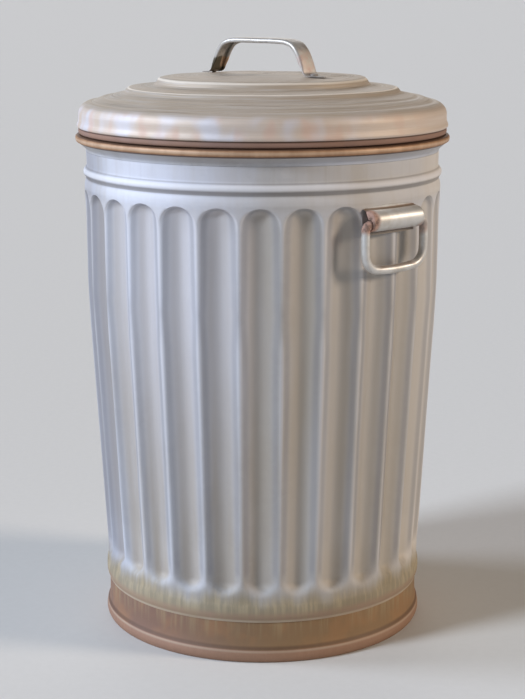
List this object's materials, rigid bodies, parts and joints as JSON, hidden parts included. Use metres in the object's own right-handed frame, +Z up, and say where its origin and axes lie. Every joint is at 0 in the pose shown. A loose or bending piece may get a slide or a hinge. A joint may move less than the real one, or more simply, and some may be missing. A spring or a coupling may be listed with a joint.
{
  "type": "galvanized steel refuse can",
  "caption": "Round fluted galvanized steel refuse can with a stepped lift-off lid, strap lid handle, drop side handles and a rusted base band.",
  "frame": {"origin": "centre of the footprint, on the floor, on the can's axis", "axes": "+Z up along the can's axis; +X towards the right drop handle, with the left drop handle on -X"},
  "size_m": [0.467, 0.4558, 0.724],
  "materials": {
    "galvanized_wall": "weathered zinc, faintly streaked, dirt and rust at the lower skirt",
    "galvanized_lid": "weathered zinc with a tan dust film, rust staining on the skirt",
    "galvanized_pan": "dull zinc with grime",
    "rim_steel": "tan rust bloom over zinc, rubbed brighter along the bead",
    "rusted_band": "brown rust over zinc, matt, with vertical streaks",
    "handle_steel": "worn zinc, rubbed bright, rust at the bends",
    "steel_wire": "dull drawn wire"
  },
  "bodies": {
    "can": {"can_body": "galvanized_wall", "rim_hoop": "rim_steel", "rim_wire": "steel_wire", "base_band": "rusted_band", "base_wire": "steel_wire", "bottom_pan": "galvanized_pan", "handle_clip_right": "handle_steel", "handle_clip_left": "handle_steel"},
    "lid": {"lid_shell": "galvanized_lid", "lid_wire": "steel_wire", "lid_handle": "handle_steel", "lid_rivet_right": "handle_steel", "lid_rivet_left": "handle_steel"},
    "right_handle": {"handle_loop_right": "handle_steel"},
    "left_handle": {"handle_loop_left": "handle_steel"}
  },
  "joints": [
    {"name": "lid_lift", "type": "slide", "parent": "can", "child": "lid", "axis": [0, 0, 1], "range_m": [0, 0.3]},
    {"name": "right_handle_swing", "type": "hinge", "parent": "can", "child": "right_handle", "pos_m": [0.2252, 0, 0.5226], "axis": [0, -1, 0], "range_deg": [0, 170]},
    {"name": "left_handle_swing", "type": "hinge", "parent": "can", "child": "left_handle", "pos_m": [-0.2252, 0, 0.5226], "axis": [0, 1, 0], "range_deg": [0, 170]}
  ]
}
